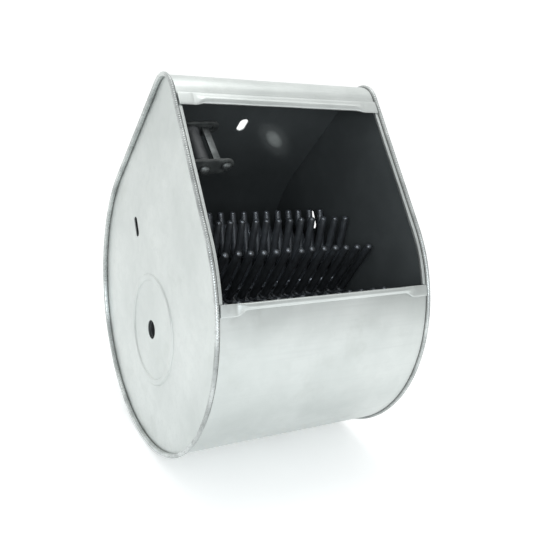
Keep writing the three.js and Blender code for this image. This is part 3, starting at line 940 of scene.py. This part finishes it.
def build_bracket():
    """The yoke on the left wall, with its spool, pin, flat tie bar and dome bolt."""
    frame_matrix = bracket_frame()
    outer = LUG_HALF + LUG_THICK
    foot = [(0, -22 * MM), (4 * MM, -22 * MM), (4 * MM, 5 * MM), (0, 5 * MM)]
    base = prism("base", foot, -outer, outer, frame_matrix, 0.8 * MM)
    lugs = [
        prism("lug", lug_outline(), low, low + LUG_THICK, frame_matrix, 0.8 * MM)
        for low in (-outer, LUG_HALF)
    ]
    tools = []
    for x, y, r in ((*SPOOL_AT, 3.8 * MM), (BOLT_X, TIE_Y, 3.3 * MM)):
        matrix = frame_matrix @ Matrix.Translation((x, y, 0))
        tools.append(lathe("tool", [(0, -0.04), (r, -0.04), (r, 0.04), (0, 0.04)], matrix, 32))
    for lug in lugs:
        modifier = base.modifiers.new("join", "BOOLEAN")
        modifier.operation, modifier.solver, modifier.object = "UNION", "EXACT", lug
    apply_modifiers(base)
    for lug in lugs:
        bpy.data.objects.remove(lug)
    cut(base, *tools)
    base.name = "spool_bracket"
    place(base, "housing", "dark_casting", CASTING, "bracket_yoke")

    at = frame_matrix @ Matrix.Translation((*SPOOL_AT, 0))
    half = LUG_HALF - GAP
    flange, core, bore = 11 * MM, 10 * MM, 3.8 * MM
    profile = [(flange, -half), (flange, -half + 4 * MM), (core, -half + 6 * MM), (core, half - 6 * MM)]
    profile += [(flange, half - 4 * MM), (flange, half), (bore, half), (bore, -half)]
    spool = lathe("guide_spool", rounded(profile, 0.8 * MM), at, 56, True)
    place(spool, "spool", "bush_plastic", PLASTIC, "spool")
    pin = lathe("spool_axle_pin", bolt_profile(3.5 * MM, -outer - 2 * MM, outer + GAP), at, 40)
    place(pin, "housing", "bright_steel", STEEL, "spool_pin")

    width, thick = 4.5 * MM, 1.5 * MM
    outline = [(TIE_X - width, TIE_Y - thick), (TIE_X + width, TIE_Y - thick)]
    outline += [(TIE_X + width, TIE_Y + thick), (TIE_X - width, TIE_Y + thick)]
    tie = prism("flat_tie_bar", outline, -half, half, frame_matrix, 0.5 * MM)
    place(tie, "housing", "bright_steel", STEEL, "tie_bar")
    at = frame_matrix @ Matrix.Translation((BOLT_X, TIE_Y, 0))
    bolt = lathe("lug_dome_bolt", bolt_profile(3 * MM, LUG_HALF - 3 * MM, outer + GAP), at, 40)
    place(bolt, "housing", "bright_steel", STEEL, "lug_bolt")


build_wrap()
for side, word in ((1, "right"), (-1, "left")):
    build_end(side, word)
    build_rim(side, word)
    build_strip(side, word)
    build_bush(side, word)
build_hem("upper_rolled_hem", "top_hem", LIP_TOP, 1, 6.6 * MM, TAB_BACK, 1.5)
build_hem("lower_rolled_hem", "bottom_hem", LIP_BOTTOM, -1, HEM_FRONT, 4.6 * MM, 7.5)
build_drum()
build_shaft()
FINGERS = [build_finger_row(index) for index in range(FINGER_ROWS)]
build_bracket()


# ---------- floor, lights and camera ----------
def build_floor():
    """A plain pale floor just under the belly."""
    size = 40
    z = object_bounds()[0][2] - 0.5 * MM
    centre = Vector((0, BELLY.x, z))
    signs = ((-1, -1), (1, -1), (1, 1), (-1, 1))
    corners = [centre + Vector((sx * size, sy * size, 0)) for sx, sy in signs]
    floor = make_object("floor", corners, [(0, 1, 2, 3)])
    floor.data.materials.append(floor_paper())


def add_light(name, kind, at, target, energy, colour=(1, 1, 1), **shape):
    """A light at a place, aimed at a target; shape holds its further settings."""
    data = bpy.data.lights.new(name, kind)
    data.energy, data.color = energy, colour
    for key, value in shape.items():
        setattr(data, key, value)
    light = bpy.data.objects.new(name, data)
    light.location = at
    light.rotation_euler = (Vector(target) - Vector(at)).to_track_quat("-Z", "Y").to_euler()
    bpy.context.scene.collection.objects.link(light)
    return light


def build_world():
    """A white studio, dimmer on the side that the opening faces."""
    world = bpy.data.worlds.new("studio")
    world.use_nodes = True
    tree = world.node_tree
    direction = tree.nodes.new("ShaderNodeTexCoord").outputs["Generated"]
    split = tree.nodes.new("ShaderNodeSeparateXYZ")
    tree.links.new(direction, split.inputs[0])
    level = tree.nodes.new("ShaderNodeMapRange")
    for socket, number in zip(("From Min", "From Max", "To Min", "To Max"), (-1, 1, 0.43, 1.25)):
        level.inputs[socket].default_value = number
    tree.links.new(split.outputs["Y"], level.inputs["Value"])
    background = tree.nodes["Background"]
    background.inputs["Color"].default_value = (0.99, 1.0, 0.995, 1)
    tree.links.new(level.outputs["Result"], background.inputs["Strength"])
    bpy.context.scene.world = world


def build_light():
    """A soft front strip, a top disc, a lamp on the lining and a light on the rubber alone."""
    build_world()
    target = Vector((0, BELLY.x, BELLY.y + 0.08))
    front = target + Vector((-0.62, -1.2, 0.38))
    strip = {"shape": "RECTANGLE", "size": 1.5, "size_y": 0.4}
    add_light("front", "AREA", front, target, 8, (0.9, 0.95, 1), **strip)
    add_light("top", "AREA", target + Vector((0.2, 0.1, 1.9)), target, 7, shape="DISK", size=1.2)
    spot_on = Vector((0.064, BELLY.x + 0.09, BELLY.y + 0.198))
    lamp = Vector((-0.7, BELLY.x - 0.75, BELLY.y + 0.5))
    for name, energy, width in (("lamp", 190, 1.1), ("lamp_glow", 50, 2.2)):
        cone = {"spot_size": math.radians(width), "spot_blend": 1}
        add_light(name, "SPOT", lamp, spot_on, energy, (1, 0.98, 0.94), **cone)
    window = Vector((-0.3, BELLY.x - 0.62, BELLY.y + 1.0))
    aim = Vector((0, BELLY.x, BELLY.y + 0.05))
    strip = {"shape": "RECTANGLE", "size": 0.9, "size_y": 0.3}
    sheen = add_light("finger_sheen", "AREA", window, aim, 18, (0.78, 0.88, 1), **strip)
    rows = bpy.data.collections.new("finger_rows")
    for row in FINGERS:
        rows.objects.link(row)
    sheen.light_linking.receiver_collection = rows


CAMERA_AT = Vector((-0.4758, -0.8335, 0.3559))  # from the belly's centre
CAMERA_AZIMUTH = math.radians(-30.71)
CAMERA_ELEVATION = math.radians(17.33)
CAMERA_ROLL = math.radians(6.32)


def build_camera():
    """The camera, turned by its azimuth, elevation and roll."""
    a, e, roll = CAMERA_AZIMUTH, CAMERA_ELEVATION, CAMERA_ROLL
    back = Vector((math.sin(a) * math.cos(e), -math.cos(a) * math.cos(e), math.sin(e)))
    right = (-back).cross(Vector((0, 0, 1))).normalized()
    up = right.cross(-back)
    right, up = right * math.cos(roll) + up * math.sin(roll), up * math.cos(roll) - right * math.sin(roll)
    data = bpy.data.cameras.new("camera")
    data.lens = 49.17
    data.sensor_width = 36
    data.shift_y = -0.0244
    data.clip_start = 0.05
    camera = bpy.data.objects.new("camera", data)
    matrix = Matrix((right, up, back)).transposed().to_4x4()
    matrix.translation = CAMERA_AT + Vector((0, BELLY.x, BELLY.y))
    camera.matrix_world = matrix
    bpy.context.scene.collection.objects.link(camera)
    bpy.context.scene.camera = camera


build_floor()
build_light()
build_camera()
bpy.context.scene.view_settings.view_transform = "Standard"
